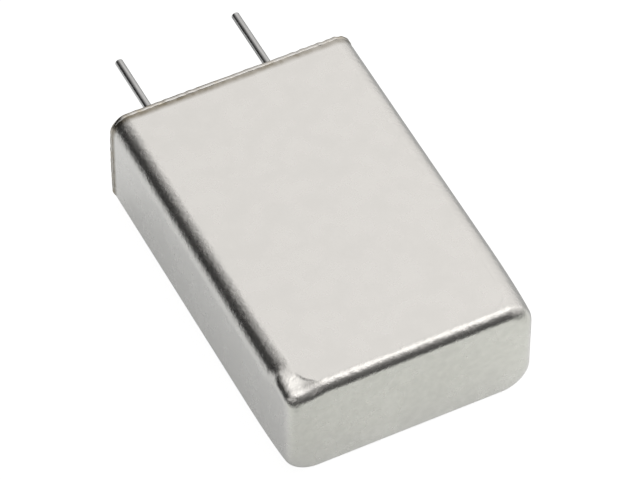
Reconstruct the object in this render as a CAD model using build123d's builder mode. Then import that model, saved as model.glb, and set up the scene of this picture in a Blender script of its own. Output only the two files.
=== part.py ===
"""Flat electrolytic capacitor: a deep-drawn rectangular case, welded shut at the lead end.

Millimetres. X is the width and Y the length, with the leads towards +Y. Z is the thickness.
The origin is the middle of the large flat face that the case lies on.
"""

import os
from math import pi, sin, sqrt

from build123d import *

# Case
case_width = 25.4
case_length = 38.1
case_height = 11.7
sheet = 0.4
long_edge_radius = 1.6
end_edge_radius = 1.0
end_corner_radius = 1.9
corner_reach = 3.8
corner_sections = 12

# Weld seam round the rim
seam_height = 0.45
seam_proud = 0.08
seam_crown_radius = 0.34

# Cover: a pan with a drawn collar for each lead
cover_recess = 1.1
cover_bend_radius = 0.3
collar_wall = 0.35

# Glass feedthroughs: a pin through each glass bead, with a lead welded on its outer end
glass_diameter = 3.2
glass_depth = 1.8
glass_dip = 0.1
pin_diameter = 1.2
pin_proud = 0.35
pin_edge = 0.12
lead_pitch = 12.8
lead_height = 5.4
lead_diameter = 0.81
lead_edge = 0.06
lead_reach = {"left": 11.4, "right": 11.9}

# Stations along the case
closed_end = -case_length / 2
open_end = case_length / 2
rim = open_end - seam_height
cover_face = open_end - cover_recess
cover_back = cover_face - sheet
glass_back = cover_face - glass_depth
pin_top = cover_face + pin_proud
glass_radius = glass_diameter / 2
collar_radius = glass_radius + collar_wall
pin_radius = pin_diameter / 2
lead_x = {"left": -lead_pitch / 2, "right": lead_pitch / 2}


def across(y, z=case_height / 2):
    """The plane across the case at y and height z, facing the lead end."""
    return Plane(origin=(0, y, z), x_dir=(1, 0, 0), z_dir=(0, 1, 0))


def outline(inset, radius, mode=Mode.ADD):
    """The case's cross-section, drawn in by inset on every side."""
    RectangleRounded(case_width - 2 * inset, case_height - 2 * inset, radius, mode=mode)


def lead_circles(radius):
    """One circle round each lead."""
    with GridLocations(lead_pitch, 0, 2, 1):
        Circle(radius)


def corner_cut(inset, radius):
    """How far a rounded corner lies inside the case's sharp corner, along the diagonal."""
    return sqrt(2) * inset + (sqrt(2) - 1) * radius


def quarter_arc(depth, reach, distance):
    """Height at a distance along a quarter ellipse that starts level and ends upright."""
    return depth * (1 - sqrt(1 - (distance / reach) ** 2))


def drawn_section(from_end):
    """Inset and corner radius of the cross-section at a distance from the closed end."""
    into_edge = max(end_edge_radius - from_end, 0)
    inset = quarter_arc(end_edge_radius, end_edge_radius, into_edge)
    wall_cut = corner_cut(0, long_edge_radius)
    end_cut = corner_cut(end_edge_radius, end_corner_radius)
    cut = wall_cut + quarter_arc(end_cut - wall_cut, corner_reach, corner_reach - from_end)
    return inset, (cut - sqrt(2) * inset) / (sqrt(2) - 1)


# The space in the case's mouth that the cover and its collars fill
with BuildPart() as mouth:
    with BuildSketch(across(cover_back)):
        outline(sheet, long_edge_radius - sheet)
    extrude(amount=rim - cover_back)
    fillet(mouth.faces().sort_by(Axis.Y)[0].edges(), cover_bend_radius + sheet)
    with BuildSketch(across(glass_back, lead_height)):
        lead_circles(collar_radius)
    extrude(amount=cover_back - glass_back)

# Case: straight walls, drawn corners and a rounded closed end
with BuildPart() as case:
    for step in range(corner_sections + 1):
        from_end = corner_reach * (1 - sin(pi / 2 * step / corner_sections))
        with BuildSketch(across(closed_end + from_end)):
            outline(*drawn_section(from_end))
    loft()
    with BuildSketch(across(closed_end + corner_reach)):
        outline(0, long_edge_radius)
    extrude(amount=rim - closed_end - corner_reach)
    add(mouth.part, mode=Mode.SUBTRACT)
case.part.label = "case"

# Cover: its flange stands up to the rim, and its collars hold the glass
with BuildPart() as end_cover:
    add(mouth.part)
    with BuildSketch(across(cover_face)):
        outline(2 * sheet, long_edge_radius - 2 * sheet)
    extrude(amount=rim - cover_face, mode=Mode.SUBTRACT)
    pan_floor = end_cover.faces().filter_by(Axis.Y).sort_by(Axis.Y)[-2]
    fillet(pan_floor.edges(), cover_bend_radius)
    with BuildSketch(across(cover_face, lead_height)):
        lead_circles(glass_radius)
    extrude(amount=glass_back - cover_face, mode=Mode.SUBTRACT)
end_cover.part.label = "end_cover"

# Weld seam: a crowned ring of melted metal over the rim of the case and the cover's flange
with BuildPart() as weld_seam:
    with BuildSketch(across(rim)):
        outline(-seam_proud, long_edge_radius + seam_proud)
        outline(2 * sheet, long_edge_radius - 2 * sheet, Mode.SUBTRACT)
    extrude(amount=seam_height)
    crown = weld_seam.faces().sort_by(Axis.Y)[-1]
    fillet(crown.edges(), seam_crown_radius)
weld_seam.part.label = "weld_seam"


def glass_seal(side):
    """A glass bead whose face dips between the collar and the pin."""
    axis_plane = Plane(origin=(lead_x[side], cover_face, lead_height), x_dir=(1, 0, 0), z_dir=(0, 0, 1))
    middle = (pin_radius + glass_radius) / 2
    with BuildPart() as seal:
        with BuildSketch(axis_plane):
            with BuildLine():
                dip = ThreePointArc((pin_radius, 0), (middle, -glass_dip), (glass_radius, 0))
                Polyline(dip @ 1, (glass_radius, -glass_depth), (pin_radius, -glass_depth), dip @ 0)
            make_face()
        revolve(axis=Axis(axis_plane.origin, (0, 1, 0)))
    seal.part.label = f"glass_seal_{side}"
    return seal.part


def rod(name, side, start, stop, diameter, edge):
    """A round rod on the axis of one lead, chamfered at its outer end."""
    with BuildPart() as piece:
        with BuildSketch(across(start, lead_height)):
            with Locations((lead_x[side], 0)):
                Circle(diameter / 2)
        extrude(amount=stop - start)
        chamfer(piece.edges().sort_by(Axis.Y)[-1], edge)
    piece.part.label = f"{name}_{side}"
    return piece.part


pieces = [case.part, end_cover.part, weld_seam.part]
for side in lead_x:
    tip = open_end + lead_reach[side]
    pieces.append(glass_seal(side))
    pieces.append(rod("feedthrough_pin", side, glass_back, pin_top, pin_diameter, pin_edge))
    pieces.append(rod("lead", side, pin_top, tip, lead_diameter, lead_edge))

os.makedirs("parts", exist_ok=True)
for piece in pieces:
    export_step(piece, f"parts/{piece.label}.step")
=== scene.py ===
"""Looks of a flat electrolytic capacitor.

The case, the weld bead and the leads get finer meshes. The recessed cover, the glass beads and
the pins keep their solids. Lengths are in millimetres, in the frame's axes, until a mesh is made.
"""

from math import cos, pi, radians, sin, sqrt

import bpy
import numpy as np
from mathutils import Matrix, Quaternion, Vector


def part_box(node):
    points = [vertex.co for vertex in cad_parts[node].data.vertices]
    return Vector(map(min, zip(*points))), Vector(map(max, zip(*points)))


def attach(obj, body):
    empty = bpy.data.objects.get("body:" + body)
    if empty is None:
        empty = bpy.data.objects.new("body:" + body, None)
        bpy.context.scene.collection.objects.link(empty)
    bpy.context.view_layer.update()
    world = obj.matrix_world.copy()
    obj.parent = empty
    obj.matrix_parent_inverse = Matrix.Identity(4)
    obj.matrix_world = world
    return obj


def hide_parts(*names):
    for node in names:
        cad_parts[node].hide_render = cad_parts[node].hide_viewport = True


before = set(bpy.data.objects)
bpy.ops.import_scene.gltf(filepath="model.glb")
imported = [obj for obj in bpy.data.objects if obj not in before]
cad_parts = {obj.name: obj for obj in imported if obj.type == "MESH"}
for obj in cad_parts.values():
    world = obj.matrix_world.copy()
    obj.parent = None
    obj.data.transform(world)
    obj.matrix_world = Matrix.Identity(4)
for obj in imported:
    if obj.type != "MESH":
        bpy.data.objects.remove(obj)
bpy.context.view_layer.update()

MM = 0.001


def box_mm(node):
    """Lowest and highest corner of a CAD node, in millimetres."""
    low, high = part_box(node)
    return np.array(low) / MM, np.array(high) / MM


# Places taken from the frame
case_low, case_high = box_mm("case")
seam_low, seam_high = box_mm("weld_seam")
half_width = (case_high[0] - case_low[0]) / 2
half_height = (case_high[2] - case_low[2]) / 2
middle_height = (case_high[2] + case_low[2]) / 2
closed_end = case_low[1]
rim = case_high[1]
pocket_floor = box_mm("end_cover")[0][1]
seam_crest = seam_high[1]
seam_proud = seam_high[0] - case_high[0]
floor_level = seam_low[2]

# Case: the long edges' radius grows towards the rounded closed end
sheet = 0.4
long_edge_radius = 1.9
end_edge_radius = 1.1
corner_growth = 1.6
corner_reach = 9.0

# The large flats lie a little below the closed end's rounded edge
flat_drop = 0.02
flat_step = 0.2
flat_side_margin = 2.0
flat_end_margin = 1.05
flat_corner_radius = 2.2
flat_drop_reach = 9.0
flat_tolerance = 0.01

# At the upper left corner the drawing has pressed a facet that slants towards the closed end
facet_slope = 0.24
facet_reach = 2.7
facet_foot = 1.1
facet_blend = 2.0
facet_crease = (-0.12, 0.03)
facet_inner_side = (1.7, 4.0)
facet_round = 0.2
facet_edge_radius = 1.0
bend_tolerance = 0.001

# Rings of the case's mesh, from its mouth to the middle of its closed end
pocket_rings = 8
wall_rings = 50
corner_rings = 50
edge_rings = 28
cap_rings = 16
cap_first_inset = 0.25
cap_last_margin = 0.5
cap_least_radius = 0.3
sharp_angle = 40

# Weld bead: a squarish section swept round the rim, with fine and slow ripples
bead_inner = 0.8
bead_sink = 0.18
bead_squareness = 2.6
bead_stations = 720
bead_profile_points = 28
bead_crest_margin = 0.03
bead_side_margin = 0.015
bead_crest_ripple = 0.02
bead_side_ripple = 0.018
bead_foot_ripple = 0.02
bead_slow_share = 0.5
bead_least_ripple = 0.55
fine_waves = (38, 95)
slow_waves = (4, 22)

# Leads, both welded a little left of their pins' middles, with a small round at the tip's edge
lead_offset = 0.08
lead_edge = 0.06
lead_edge_turns = (0.5, 1.0, pi / 2)
lead_tip_shares = (0.7, 0.35)
lead_stations = 80
lead_points_around = 64
lead_wobble = 0.004
lead_waves = (1, 9)
lead_wobble_seed = {"left": 21, "right": 22}

# Camera, from a fit of the photograph's outlines. Its clip distances are in metres.
camera_sensor_width = 36
camera_clip = (0.01, 10)
camera_aim = Vector((0.652, 1.167, 5.85))
camera_azimuth = 26.814
camera_elevation = 49.764
camera_roll = 0.19
camera_distance = 481.0
camera_lens = 287.7


# Meshes


def mesh_object(name, points, faces):
    """A smooth-shaded object in the scene, from points in millimetres."""
    mesh = bpy.data.meshes.new(name)
    mesh.from_pydata((np.asarray(points) * MM).tolist(), [], faces)
    mesh.validate()
    mesh.shade_smooth()
    made = bpy.data.objects.new(name, mesh)
    bpy.context.scene.collection.objects.link(made)
    return made


def mesh_piece(name, points, faces, replaced):
    """A piece that rides on the root body in a CAD node's place."""
    piece = mesh_object(name, points, faces)
    piece.data.set_sharp_from_angle(angle=radians(sharp_angle))
    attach(piece, "root")
    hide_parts(replaced)
    return piece


def band(count, low, high):
    """Quads between two rings of count points, whose first points are numbered low and high."""
    faces = []
    for i in range(count):
        j = (i + 1) % count
        faces.append((low + i, low + j, high + j, high + i))
    return faces


def skin(rings):
    """Faces of a closed form: quads between rings, with a cap on the first and the last one."""
    count = len(rings[0])
    last = (len(rings) - 1) * count
    faces = []
    for start in range(0, last, count):
        faces += band(count, start, start + count)
    faces.append(tuple(range(count))[::-1])
    faces.append(tuple(range(last, last + count)))
    return faces


def quarter_arc(depth, reach, distance):
    """Height at a distance along a quarter ellipse that starts level and ends upright."""
    return depth * (1 - sqrt(max(1 - (distance / reach) ** 2, 0)))


def drawn_section(from_end):
    """Inset and corner radius of the case's cross-section at a distance from the closed end."""
    inset = quarter_arc(end_edge_radius, end_edge_radius, max(end_edge_radius - from_end, 0))
    growth = quarter_arc(corner_growth, corner_reach, max(corner_reach - from_end, 0))
    return inset, long_edge_radius + growth - inset


def section_ring(y, inset, radius, across=120, up=28, arc=30):
    """The case's cross-section at y, drawn in by inset. Its points lie closest at the corners."""
    wide, high = half_width - inset - radius, half_height - inset - radius
    sides = [
        ((wide + radius, -high), (0, 2 * high), up),
        ((wide, high + radius), (-2 * wide, 0), across),
    ]
    sides += [((-x, -z), (-dx, -dz), n) for (x, z), (dx, dz), n in sides]
    centres = [(wide, high), (-wide, high), (-wide, -high), (wide, -high)]
    points = []
    for quarter, (((x, z), (dx, dz), n), (cx, cz)) in enumerate(zip(sides, centres)):
        shares = [(1 - cos(pi * i / n)) / 2 for i in range(n)]
        points += [(x + dx * share, z + dz * share) for share in shares]
        for i in range(arc):
            angle = pi / 2 * (quarter + i / arc)
            points.append((cx + radius * cos(angle), cz + radius * sin(angle)))
    return np.array([(x, y, middle_height + z) for x, z in points])


def smooth_step(value, start, stop):
    """0 before start and 1 past stop, with a smooth rise between them."""
    t = np.clip((value - start) / (stop - start), 0, 1)
    return t * t * (3 - 2 * t)


def inside_flat(x, y):
    """How far points lie inside the large flats' outline, rounded at the closed end's corners."""
    reach_x = np.maximum(np.abs(x) - half_width + flat_side_margin + flat_corner_radius, 0)
    reach_y = np.maximum(closed_end + flat_end_margin + flat_corner_radius - y, 0)
    return flat_corner_radius - np.hypot(reach_x, reach_y)


def sink_flats(points):
    """Lowers both large flats a little behind the closed end's edge."""
    x, y, z = points.T
    drop = flat_drop * smooth_step(inside_flat(x, y), 0, flat_step)
    drop *= 1 - smooth_step(y - closed_end, flat_end_margin, flat_drop_reach)
    on_flat = np.abs(z - middle_height) > half_height - flat_tolerance
    return points - np.stack([0 * x, 0 * y, drop * np.sign(z - middle_height) * on_flat], 1)


def facet_height(from_side, from_end):
    """Height of the slanting facet and its tight outer bend, in one cross-section."""
    inset, _ = drawn_section(from_end)
    past_reach, past_foot = (
        facet_round * np.logaddexp(0, (edge - from_end) / facet_round)
        for edge in (facet_reach, facet_foot)
    )
    slant = facet_slope * (past_reach - past_foot)
    into_bend = np.clip(facet_edge_radius - (from_side - inset), 0, facet_edge_radius)
    bend = facet_edge_radius - np.sqrt(facet_edge_radius**2 - into_bend**2)
    level = middle_height + half_height - inset
    return level - slant * (1 - smooth_step(from_side, *facet_inner_side)) - bend


def press_facet(points, from_end):
    """Moves the upper left corner of a cross-section of the walls onto the facet."""
    x, y, z = points.T
    inset, radius = drawn_section(from_end)
    from_side = half_width + x
    share = (1 - smooth_step(inside_flat(x, y), *facet_crease)) * (from_side < facet_inner_side[1])
    share *= 1 - smooth_step(from_end, facet_reach, facet_reach + facet_blend)
    share *= z > middle_height + half_height - inset - radius - bend_tolerance
    return np.stack([x, y, z + share * (facet_height(from_side, from_end) - z)], 1)


def press_facet_on_cap(points):
    """Keeps a ring of the closed end's flat face below the facet."""
    x, y, z = points.T
    facet = facet_height(half_width + x, 0)
    return np.stack([x, y, np.where(x < 0, np.minimum(z, facet), z)], 1)


def ripple(count, waves_per_loop, seed):
    """Closed noise of about unit size along a loop of count stations."""
    waves = 26
    rng = np.random.default_rng(seed)
    numbers = rng.integers(*waves_per_loop, waves)
    phases = rng.uniform(0, 2 * pi, waves)
    station = 2 * pi * np.arange(count) / count
    return np.sin(np.outer(numbers, station) + phases[:, None]).sum(0) * sqrt(2 / waves)


def make_case():
    """The drawn case: outer skin, closed end and the pocket in its mouth that the cover fills."""
    rings = []
    for y in np.linspace(pocket_floor, rim, pocket_rings):
        rings.append(section_ring(y, sheet, long_edge_radius - sheet))
    finest_from = facet_reach + facet_blend
    stations = list(np.linspace(rim - closed_end, finest_from, wall_rings))
    stations += list(np.linspace(finest_from, end_edge_radius, corner_rings)[1:])
    stations += list(end_edge_radius * (1 - np.sin(np.linspace(0, pi / 2, edge_rings)[1:])))
    for from_end in stations:
        ring = sink_flats(section_ring(closed_end + from_end, *drawn_section(from_end)))
        rings.append(press_facet(ring, from_end))
    end_inset, end_radius = drawn_section(0)
    last_inset = half_height - end_inset - cap_last_margin
    for inset in np.linspace(cap_first_inset, last_inset, cap_rings):
        radius = max(end_radius - inset, cap_least_radius)
        rings.append(press_facet_on_cap(section_ring(closed_end, end_inset + inset, radius)))
    return mesh_piece("drawn_case", np.concatenate(rings), skin(rings), "case")


def rim_path(count):
    """Evenly spaced stations round the case's outline: points and outward directions in X, Z."""
    ring = section_ring(rim, 0, long_edge_radius, across=600, up=260, arc=60)[:, [0, 2]]
    closed = np.vstack([ring, ring[:1]])
    along = np.concatenate([[0], np.cumsum(np.linalg.norm(np.diff(closed, axis=0), axis=1))])
    wanted = along[-1] * np.arange(count) / count
    points = np.stack([np.interp(wanted, along, closed[:, k]) for k in (0, 1)], 1)
    core = np.array([half_width - long_edge_radius, half_height - long_edge_radius])
    centred = points - [0, middle_height]
    outward = centred - np.clip(centred, -core, core)
    return points, outward / np.linalg.norm(outward, axis=1)[:, None]


def make_weld_bead():
    """A bead of melted metal round the rim, uneven in height, width and foot."""
    count = bead_stations
    points, outward = rim_path(count)
    crest_fine = ripple(count, fine_waves, seed=3)
    slow = ripple(count, slow_waves, seed=5)
    side_fine = ripple(count, fine_waves, seed=8)
    foot_fine = ripple(count, fine_waves, seed=11)
    uneven = smooth_step(points[:, 0], -half_width / 2, half_width)
    uneven = bead_least_ripple + (1 - bead_least_ripple) * uneven
    crest_lift = bead_crest_ripple * uneven * (crest_fine + bead_slow_share * slow)
    crest = seam_crest - bead_crest_margin + crest_lift
    outer = seam_proud - bead_side_margin + bead_side_ripple * uneven * (side_fine + slow)
    foot = rim - bead_sink + bead_foot_ripple * uneven * foot_fine

    angles = 2 * pi * np.arange(bead_profile_points) / bead_profile_points
    power = 2 / bead_squareness
    sideways = np.sign(np.cos(angles)) * np.abs(np.cos(angles)) ** power
    rise = np.sign(np.sin(angles)) * np.abs(np.sin(angles)) ** power

    half_span = (outer + bead_inner) / 2
    offset = (outer - half_span)[:, None] + half_span[:, None] * sideways
    y = ((crest + foot) / 2)[:, None] + ((crest - foot) / 2)[:, None] * rise
    xz = points[:, None] + offset[..., None] * outward[:, None]
    rings = np.stack([xz[..., 0], y, xz[..., 1]], -1)
    faces = []
    for i in range(count):
        after = (i + 1) % count
        faces += band(bead_profile_points, i * bead_profile_points, after * bead_profile_points)
    return mesh_piece("weld_bead", rings.reshape(-1, 3), faces, "weld_seam")


def make_lead(side):
    """A tinned wire, a little uneven, with a sheared tip."""
    low, high = box_mm(f"lead_{side}")
    axis_x, axis_z = (low[0] + high[0]) / 2 - lead_offset, (low[2] + high[2]) / 2
    radius, tip = (high[0] - low[0]) / 2, high[1]
    core, shoulder = radius - lead_edge, tip - lead_edge
    stations = [(y, radius) for y in np.linspace(low[1], shoulder, lead_stations)]
    for turn in lead_edge_turns:
        stations.append((shoulder + lead_edge * sin(turn), core + lead_edge * cos(turn)))
    stations += [(tip, core * share) for share in lead_tip_shares]
    wobble = ripple(len(stations), lead_waves, lead_wobble_seed[side])
    angles = 2 * pi * np.arange(lead_points_around) / lead_points_around
    rings = []
    for (y, station_radius), lift in zip(stations, wobble):
        reach = station_radius * (1 + lead_wobble * lift)
        x, z = axis_x + reach * np.cos(angles), axis_z + reach * np.sin(angles)
        rings.append(np.stack([x, np.full(lead_points_around, y), z], 1))
    points = np.concatenate(rings)
    return mesh_piece(f"wire_{side}", points, skin(rings), f"lead_{side}")


# Shader nodes


def node(tree, kind, sockets=None, **settings):
    """A new node with its settings made and its sockets set to values or linked."""
    made = tree.nodes.new("ShaderNode" + kind)
    for name, value in settings.items():
        setattr(made, name, value)
    for name, value in (sockets or {}).items():
        if isinstance(value, bpy.types.NodeSocket):
            tree.links.new(value, made.inputs[name])
        else:
            made.inputs[name].default_value = value
    return made


def maths(tree, operation, *values, clamp=False):
    """The output of a Math node."""
    sockets = dict(enumerate(values))
    return node(tree, "Math", sockets, operation=operation, use_clamp=clamp).outputs[0]


def ramp(tree, value, low, high, to_low=0.0, to_high=1.0, smooth=True):
    """The value mapped from low..high to to_low..to_high, held at both ends."""
    kind = "SMOOTHSTEP" if smooth else "LINEAR"
    sockets = {"Value": value, "From Min": low, "From Max": high}
    sockets |= {"To Min": to_low, "To Max": to_high}
    return node(tree, "MapRange", sockets, interpolation_type=kind).outputs["Result"]


def fade(tree, value, low, high, to_high=0.0):
    """1 up to low, then a smooth fall to to_high."""
    return ramp(tree, value, low, high, 1.0, to_high)


def mix_colour(tree, factor, first, second):
    """A colour mixed from two colours or colour sockets."""
    made = node(tree, "Mix", data_type="RGBA")
    for index, value in ((0, factor), (6, first), (7, second)):
        if isinstance(value, bpy.types.NodeSocket):
            tree.links.new(value, made.inputs[index])
        else:
            made.inputs[index].default_value = value
    return made.outputs[2]


def position_mm(tree, stretch=(1, 1, 1)):
    """The surface point in millimetres, stretched on each axis."""
    point = node(tree, "TexCoord").outputs["Object"]
    factors = [share / MM for share in stretch]
    return node(tree, "VectorMath", {0: point, 1: factors}, operation="MULTIPLY").outputs[0]


def components(tree, vector):
    """The X, Y and Z outputs of a vector."""
    return node(tree, "SeparateXYZ", {0: vector}).outputs


def facing(tree, direction, towards):
    """The cosine of the angle between a direction and a fixed one."""
    sockets = {0: direction, 1: towards}
    return node(tree, "VectorMath", sockets, operation="DOT_PRODUCT").outputs["Value"]


def cloudy(tree, point, scale, detail=3.0, roughness=0.55):
    """Noise from 0 to 1 whose grain is 1 / scale millimetres."""
    sockets = {"Vector": point, "Scale": scale, "Detail": detail, "Roughness": roughness}
    return node(tree, "TexNoise", sockets).outputs[0]


noise_span = (0.3, 0.7)


def spread(tree, noise, low=0.0, high=1.0):
    """Noise stretched from the span that it mostly fills to low..high."""
    return ramp(tree, noise, *noise_span, low, high)


def bump(tree, height, depth, normal=None):
    """The normal bent by a height, whose full range stands for depth in millimetres."""
    sockets = {"Height": height, "Distance": depth * MM, "Strength": 1.0}
    if normal is not None:
        sockets["Normal"] = normal
    return node(tree, "Bump", sockets).outputs[0]


def new_material(name):
    """An empty node material, its tree and its output node."""
    material = bpy.data.materials.new(name)
    material.use_nodes = True
    tree = material.node_tree
    tree.nodes.clear()
    return material, tree, node(tree, "OutputMaterial")


def principled(tree, output, sockets):
    """Gives the material its surface shader."""
    shader = node(tree, "BsdfPrincipled", sockets)
    tree.links.new(shader.outputs[0], output.inputs["Surface"])


def grey(level, warmth=0.0):
    """A grey that warmth turns towards cream."""
    return (level * (1 + warmth), level, level * (1 - 1.6 * warmth), 1)


# Materials

# Each reach is where an effect starts and where it is full or gone, measured from the rim, the
# closed end, a face or the weld's crest
heat_reach = (0.9, 0.2)
heat_colour = (0.255, 0.225, 0.175, 1)
scuff_reach = (0.1, 0.4)
scuff_colour = (0.4, 0.4, 0.37, 1)
peel_reach = (1.5, 2.3)
peel_end_reach = (0.8, 1.5)
# Painted shade along the weld's crest, standing in for the darker reflection at the bead's far
# side
crest_shade_reach = (0.36, 0.18)
crest_shade_colour = (0.2, 0.18, 0.15, 1)


def heat_tint(tree, point, x, y):
    """How far the weld has tinted the case near its rim: in patches, and more on the left."""
    near_rim = ramp(tree, y, rim - heat_reach[0], rim - heat_reach[1])
    patchy = ramp(tree, cloudy(tree, point, 1.1), 0.35, 0.75)
    at_left = ramp(tree, x, half_width, -half_width, 0.55, 0.85)
    strength = maths(tree, "MULTIPLY_ADD", patchy, 0.3, at_left)
    return maths(tree, "MULTIPLY", near_rim, strength, clamp=True)


def scuffs(tree, point, y):
    """Faint dull marks on the closed end."""
    marks = cloudy(tree, point, 1.3, detail=5.0, roughness=0.7)
    marks = ramp(tree, marks, 0.35, 0.65, 0.0, 0.14)
    from_end = maths(tree, "SUBTRACT", y, closed_end)
    return maths(tree, "MULTIPLY", marks, fade(tree, from_end, *scuff_reach))


def orange_peel(tree, point, x, y, z):
    """Height of the mottling at the bends, where two faces or more of the case are near."""
    from_side = maths(tree, "SUBTRACT", half_width, maths(tree, "ABSOLUTE", x))
    from_end = maths(tree, "SUBTRACT", y, closed_end)
    from_middle = maths(tree, "ABSOLUTE", maths(tree, "SUBTRACT", z, middle_height))
    from_flat = maths(tree, "SUBTRACT", half_height, from_middle)
    near = fade(tree, from_side, *peel_reach)
    near = maths(tree, "ADD", near, fade(tree, from_end, *peel_end_reach))
    near = maths(tree, "ADD", near, fade(tree, from_flat, *peel_reach))
    bend = ramp(tree, near, 1.0, 1.7, 0.06, 1.0)
    height = cloudy(tree, point, 2.0, detail=4.0, roughness=0.6)
    return maths(tree, "MULTIPLY", maths(tree, "SUBTRACT", height, 0.5), bend)


def case_material():
    """Satin drawn nickel steel, mottled at its bends, tinted by heat at the rim."""
    material, tree, output = new_material("case_steel")
    point = position_mm(tree)
    x, y, z = components(tree, point)
    mottle = cloudy(tree, point, 0.45)
    light, dark = grey(0.765, 0.018), grey(0.735, 0.018)
    colour = mix_colour(tree, spread(tree, mottle), dark, light)
    colour = mix_colour(tree, heat_tint(tree, point, x, y), colour, heat_colour)
    colour = mix_colour(tree, scuffs(tree, point, y), colour, scuff_colour)
    peel = bump(tree, orange_peel(tree, point, x, y, z), 0.06)
    sockets = {
        "Base Color": colour,
        "Metallic": 1.0,
        "Roughness": spread(tree, mottle, 0.26, 0.28),
        "Normal": bump(tree, cloudy(tree, point, 3.2, detail=4.0), 0.003, peel),
    }
    principled(tree, output, sockets)
    return material


def cover_material():
    """Stamped nickel steel, duller than the case."""
    material, tree, output = new_material("cover_steel")
    point = position_mm(tree)
    mottle = cloudy(tree, point, 1.2)
    sockets = {
        "Base Color": mix_colour(tree, mottle, grey(0.6, 0.02), grey(0.7, 0.02)),
        "Metallic": 1.0,
        "Roughness": spread(tree, mottle, 0.28, 0.4),
        "Normal": bump(tree, cloudy(tree, point, 4.0), 0.006),
    }
    principled(tree, output, sockets)
    return material


def weld_material():
    """Rippled weld metal, straw-tinted in patches, with painted shade along its crest, stronger on
    the left, in place of a darker reflection there.
    """
    material, tree, output = new_material("weld")
    point = position_mm(tree)
    x, y, _ = components(tree, point)
    patchy = ramp(tree, cloudy(tree, point, 0.8), 0.4, 0.8)
    colour = mix_colour(tree, patchy, grey(0.6, 0.02), (0.5, 0.45, 0.37, 1))
    # Painted shade: the crest is darkened, more on the left, in place of a darker reflection there
    crest = ramp(tree, y, seam_crest - crest_shade_reach[0], seam_crest - crest_shade_reach[1])
    strength = ramp(tree, x, -0.4 * half_width, 0.7 * half_width, 0.9, 0.4)
    colour = mix_colour(tree, maths(tree, "MULTIPLY", crest, strength), colour, crest_shade_colour)
    sockets = {
        "Base Color": colour,
        "Metallic": 1.0,
        "Specular Tint": (0.5, 0.46, 0.4, 1),
        "Roughness": spread(tree, cloudy(tree, point, 5.0), 0.18, 0.32),
        "Normal": bump(tree, cloudy(tree, point, 3.0), 0.015),
    }
    principled(tree, output, sockets)
    return material


def wire_material():
    """Tinned wire with drawing streaks along it."""
    material, tree, output = new_material("lead_wire")
    point = position_mm(tree)
    streaks = cloudy(tree, position_mm(tree, (7.0, 0.5, 7.0)), 1.0)
    sockets = {
        "Base Color": mix_colour(tree, spread(tree, streaks), grey(0.47), grey(0.6)),
        "Metallic": 1.0,
        "Roughness": spread(tree, cloudy(tree, point, 2.0), 0.2, 0.3),
        "Normal": bump(tree, streaks, 0.004),
    }
    principled(tree, output, sockets)
    return material


def pin_material():
    """Nickel-iron sealing alloy, matt from the furnace."""
    material, tree, output = new_material("pin_metal")
    point = position_mm(tree)
    clouds = cloudy(tree, point, 3.0)
    sockets = {
        "Base Color": mix_colour(tree, clouds, grey(0.5, 0.02), grey(0.62, 0.02)),
        "Metallic": 1.0,
        "Roughness": 0.38,
        "Normal": bump(tree, cloudy(tree, point, 6.0), 0.006),
    }
    principled(tree, output, sockets)
    return material


def glass_material():
    """Dark green-grey sealing glass with a faintly uneven surface."""
    material, tree, output = new_material("seal_glass")
    point = position_mm(tree)
    clouds = cloudy(tree, point, 2.5)
    sockets = {
        "Base Color": mix_colour(tree, clouds, (0.035, 0.05, 0.045, 1), (0.09, 0.12, 0.105, 1)),
        "Roughness": 0.12,
        "IOR": 1.52,
        "Normal": bump(tree, cloudy(tree, point, 1.5), 0.01),
    }
    principled(tree, output, sockets)
    return material


def paint(piece, material):
    """Gives a piece one material."""
    if piece.material_slots:
        for slot in piece.material_slots:
            slot.material = material
    else:
        piece.data.materials.append(material)


# Studio


def stage_mesh(name, points, faces, material, seen_by_camera):
    """A stage object that reflections and soft light reach."""
    made = mesh_object(name, points, faces)
    made.data.materials.append(material)
    made.visible_camera = seen_by_camera
    made.visible_shadow = seen_by_camera
    return made


def square(size, level):
    """Corners and face of a level square."""
    corners = [(-size, -size), (size, -size), (size, size), (-size, size)]
    return [(x, y, level) for x, y in corners], [(0, 1, 2, 3)]


def seen_directly(tree):
    """1 for rays from the camera, off gloss or through glass, and 0 for the rest."""
    path = node(tree, "LightPath").outputs
    seen = maths(tree, "ADD", path["Is Camera Ray"], path["Is Glossy Ray"])
    return maths(tree, "ADD", seen, path["Is Transmission Ray"], clamp=True)


floor_size = 3000
floor_depth = 0.02
floor_shadow_tone = grey(0.22)
floor_glow = 0.93
floor_bounce_tone = grey(0.8)
backdrop_light = grey(0.8)


def make_floor():
    """The white floor, with the object's soft shadow."""
    material, tree, output = new_material("floor")
    soft = node(tree, "BsdfDiffuse", {"Color": floor_shadow_tone})
    white = node(tree, "Emission", {"Color": grey(1), "Strength": floor_glow})
    pale = node(tree, "BsdfDiffuse", {"Color": floor_bounce_tone})
    shown = node(tree, "AddShader", {0: soft.outputs[0], 1: white.outputs[0]})
    sockets = {0: seen_directly(tree), 1: pale.outputs[0], 2: shown.outputs[0]}
    mixed = node(tree, "MixShader", sockets)
    tree.links.new(mixed.outputs[0], output.inputs["Surface"])
    floor = stage_mesh("floor", *square(floor_size, floor_level - floor_depth), material, True)
    floor.visible_glossy = False


# The table is dark past its near edge and dims to the far left. It has painted shade a little
# beside the object's left side, and more beside its right side and behind its lead end.
table_size = 1500
table_depth = 0.01
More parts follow.
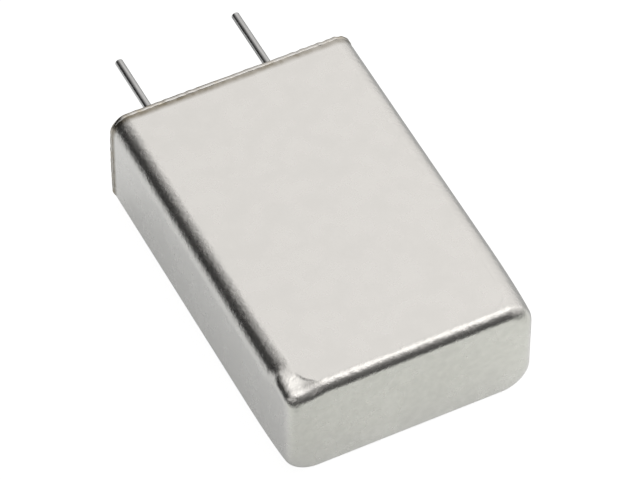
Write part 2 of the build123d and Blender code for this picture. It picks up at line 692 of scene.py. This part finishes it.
# Painted light: the table glows a little, to look more brightly lit in reflections
table_glow = 0.33
table_tone = (0.80, 0.815, 0.82, 1)
table_near_tone = (0.815, 0.84, 0.805, 1)
table_edge_tone = grey(0.08)
table_tone_change = (-24, -16)
table_near_edge = (-54, -27)
table_far_left = (-110, -20)
table_far_left_depth = 0.6
shade_left = (-21, -12.7)
shade_left_inner = (-12.7, 0)
shade_left_far = (14, 26)
shade_left_far_share = 0.6
shade_left_depth = 0.1
shade_right = (11, 15)
shade_right_near = (-18, -13)
shade_far = (16, 21)
shade_far_left = (-7, -3)
shade_depth = 0.44


def make_table():
    """The table that the metal reflects."""
    material, tree, output = new_material("table")
    x, y, _ = components(tree, position_mm(tree))
    pale = mix_colour(tree, ramp(tree, y, *table_tone_change), table_near_tone, table_tone)
    colour = mix_colour(tree, ramp(tree, y, *table_near_edge), table_edge_tone, pale)

    # Painted shade of the object on the table, beside it and behind it
    behind = maths(tree, "MULTIPLY", ramp(tree, y, *shade_far), ramp(tree, x, *shade_far_left))
    right = ramp(tree, y, *shade_right_near)
    right = maths(tree, "MULTIPLY", ramp(tree, x, *shade_right), right)
    shade = maths(tree, "MULTIPLY", maths(tree, "MAXIMUM", right, behind), shade_depth)
    left = ramp(tree, x, *shade_left, 0.0, shade_left_depth)
    left = maths(tree, "MULTIPLY", left, fade(tree, x, *shade_left_inner))
    left = maths(tree, "MULTIPLY", left, fade(tree, y, *shade_left_far, shade_left_far_share))
    far_left = ramp(tree, x, *table_far_left, table_far_left_depth, 0.0)
    shade = maths(tree, "MAXIMUM", shade, maths(tree, "ADD", left, far_left))
    colour = mix_colour(tree, shade, colour, grey(0))

    lit = node(tree, "BsdfDiffuse", {"Color": colour})
    # Painted light: the table glows though it is no lamp
    glow = node(tree, "Emission", {"Color": colour, "Strength": table_glow})
    surface = node(tree, "AddShader", {0: lit.outputs[0], 1: glow.outputs[0]})
    tree.links.new(surface.outputs[0], output.inputs["Surface"])
    table = stage_mesh("table", *square(table_size, floor_level - table_depth), material, False)
    table.visible_diffuse = False


tent_radius = 1200
tent_points_around = 96
tent_rings = 49
tent_base = 0.025
tent_colour = (1.0, 0.985, 0.965, 1)

# The softbox overhead: its level by how far a direction leans from upright
steepest_lean = 2.0
least_height = 0.01
softbox_near_to_far = {
    -1.9: 0.06,
    -1.2: 0.18,
    -0.75: 0.32,
    -0.6: 0.5,
    -0.42: 1.2,
    -0.2: 1.7,
    0.05: 1.7,
    0.25: 1.2,
    0.45: 0.82,
    0.75: 0.69,
    1.4: 0.66,
}
softbox_left_to_right = {
    -1.5: 0.0,
    -0.9: 0.07,
    -0.67: 0.17,
    -0.48: 0.4,
    -0.32: 0.47,
    -0.16: 0.51,
    -0.02: 0.56,
    0.12: 0.77,
    0.27: 0.94,
    0.4: 1.0,
    0.7: 0.9,
    1.1: 0.7,
}

# A bright wall on the right, brighter towards its top
side_wall_direction = (0.906, 0.423, 0)
side_wall_edge = (0.0, 0.6)
side_wall_foot = 0.6
side_wall_growth = 0.35

# A bright card at the near left, clear of the table
near_card_direction = (-0.7, -0.714, 0)
near_card_edge = (0.55, 0.8)
near_card_lift = (0.1, 0.4)
near_card_level = 0.6


def lean_profile(tree, value, stops):
    """A level that follows stops of a value between minus and plus the steepest lean."""
    share = ramp(tree, value, -steepest_lean, steepest_lean, smooth=False)
    made = node(tree, "ValToRGB", {0: share})
    elements = made.color_ramp.elements
    for place, level in stops.items():
        stop = elements.new(0.5 + place / (2 * steepest_lean))
        stop.color = (level, level, level, 1)
    elements.remove(elements[0])
    elements.remove(elements[-1])
    return made.outputs[0]


def tent_level(tree):
    """The tent's brightness in each direction: softbox, side wall and near card on a dim base."""
    point = node(tree, "TexCoord").outputs["Object"]
    direction = node(tree, "VectorMath", {0: point}, operation="NORMALIZE").outputs[0]
    x, y, z = components(tree, direction)
    height = maths(tree, "MAXIMUM", z, least_height)
    across = lean_profile(tree, maths(tree, "DIVIDE", x, height), softbox_left_to_right)
    along = lean_profile(tree, maths(tree, "DIVIDE", y, height), softbox_near_to_far)
    softbox = maths(tree, "MULTIPLY", across, along)

    wall = ramp(tree, facing(tree, direction, side_wall_direction), *side_wall_edge)
    level = maths(tree, "MULTIPLY_ADD", z, side_wall_growth, side_wall_foot)
    wall = maths(tree, "MULTIPLY", wall, level)
    wall = maths(tree, "MULTIPLY", wall, maths(tree, "SUBTRACT", 1.0, softbox, clamp=True))

    card = facing(tree, direction, near_card_direction)
    card = ramp(tree, card, *near_card_edge, 0.0, near_card_level)
    upright = maths(tree, "MULTIPLY_ADD", card, ramp(tree, z, *near_card_lift), wall)
    return maths(tree, "ADD", maths(tree, "ADD", softbox, tent_base), upright)


def make_tent():
    """The light tent, a dome that only reflections and soft light reach."""
    material, tree, output = new_material("tent")
    glow = node(tree, "Emission", {"Color": tent_colour, "Strength": tent_level(tree)})
    tree.links.new(glow.outputs[0], output.inputs["Surface"])
    material.cycles.emission_sampling = "NONE"
    turns = 2 * pi * np.arange(tent_points_around) / tent_points_around
    points, faces = [], []
    for ring, lift in enumerate(np.linspace(0, pi / 2, tent_rings)):
        points += [(cos(turn) * cos(lift), sin(turn) * cos(lift), sin(lift)) for turn in turns]
        if ring > 0:
            start = ring * tent_points_around
            faces += band(tent_points_around, start - tent_points_around, start)
    stage_mesh("tent", np.array(points) * tent_radius, faces, material, False)


def make_world():
    """A plain white backdrop."""
    world = bpy.data.worlds.new("backdrop")
    bpy.context.scene.world = world
    world.use_nodes = True
    tree = world.node_tree
    tree.nodes.clear()
    light = node(tree, "Background", {"Color": backdrop_light, "Strength": 1.0})
    white = node(tree, "Background", {"Color": grey(1), "Strength": 1.0})
    sockets = {0: seen_directly(tree), 1: light.outputs[0], 2: white.outputs[0]}
    mixed = node(tree, "MixShader", sockets)
    output = node(tree, "OutputWorld")
    tree.links.new(mixed.outputs[0], output.inputs["Surface"])


def make_camera():
    """A long lens, looking down on the closed end and the left side."""
    data = bpy.data.cameras.new("camera")
    data.lens = camera_lens
    data.sensor_width = camera_sensor_width
    data.clip_start, data.clip_end = camera_clip
    camera = bpy.data.objects.new("camera", data)
    bpy.context.scene.collection.objects.link(camera)
    turn, tilt = radians(camera_azimuth), radians(camera_elevation)
    view = Vector((sin(turn) * cos(tilt), cos(turn) * cos(tilt), -sin(tilt)))
    camera.location = (camera_aim - view * camera_distance) * MM
    camera.rotation_mode = "QUATERNION"
    roll = Quaternion((0, 0, 1), radians(camera_roll))
    camera.rotation_quaternion = view.to_track_quat("-Z", "Y") @ roll
    bpy.context.scene.camera = camera


# The object
paint(make_case(), case_material())
paint(make_weld_bead(), weld_material())
paint(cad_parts["end_cover"], cover_material())
wire, glass, pin = wire_material(), glass_material(), pin_material()
for side in ("left", "right"):
    paint(make_lead(side), wire)
    paint(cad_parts[f"glass_seal_{side}"], glass)
    paint(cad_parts[f"feedthrough_pin_{side}"], pin)

# The studio
make_floor()
make_table()
make_tent()
make_world()
make_camera()
bpy.context.scene.view_settings.view_transform = "Standard"
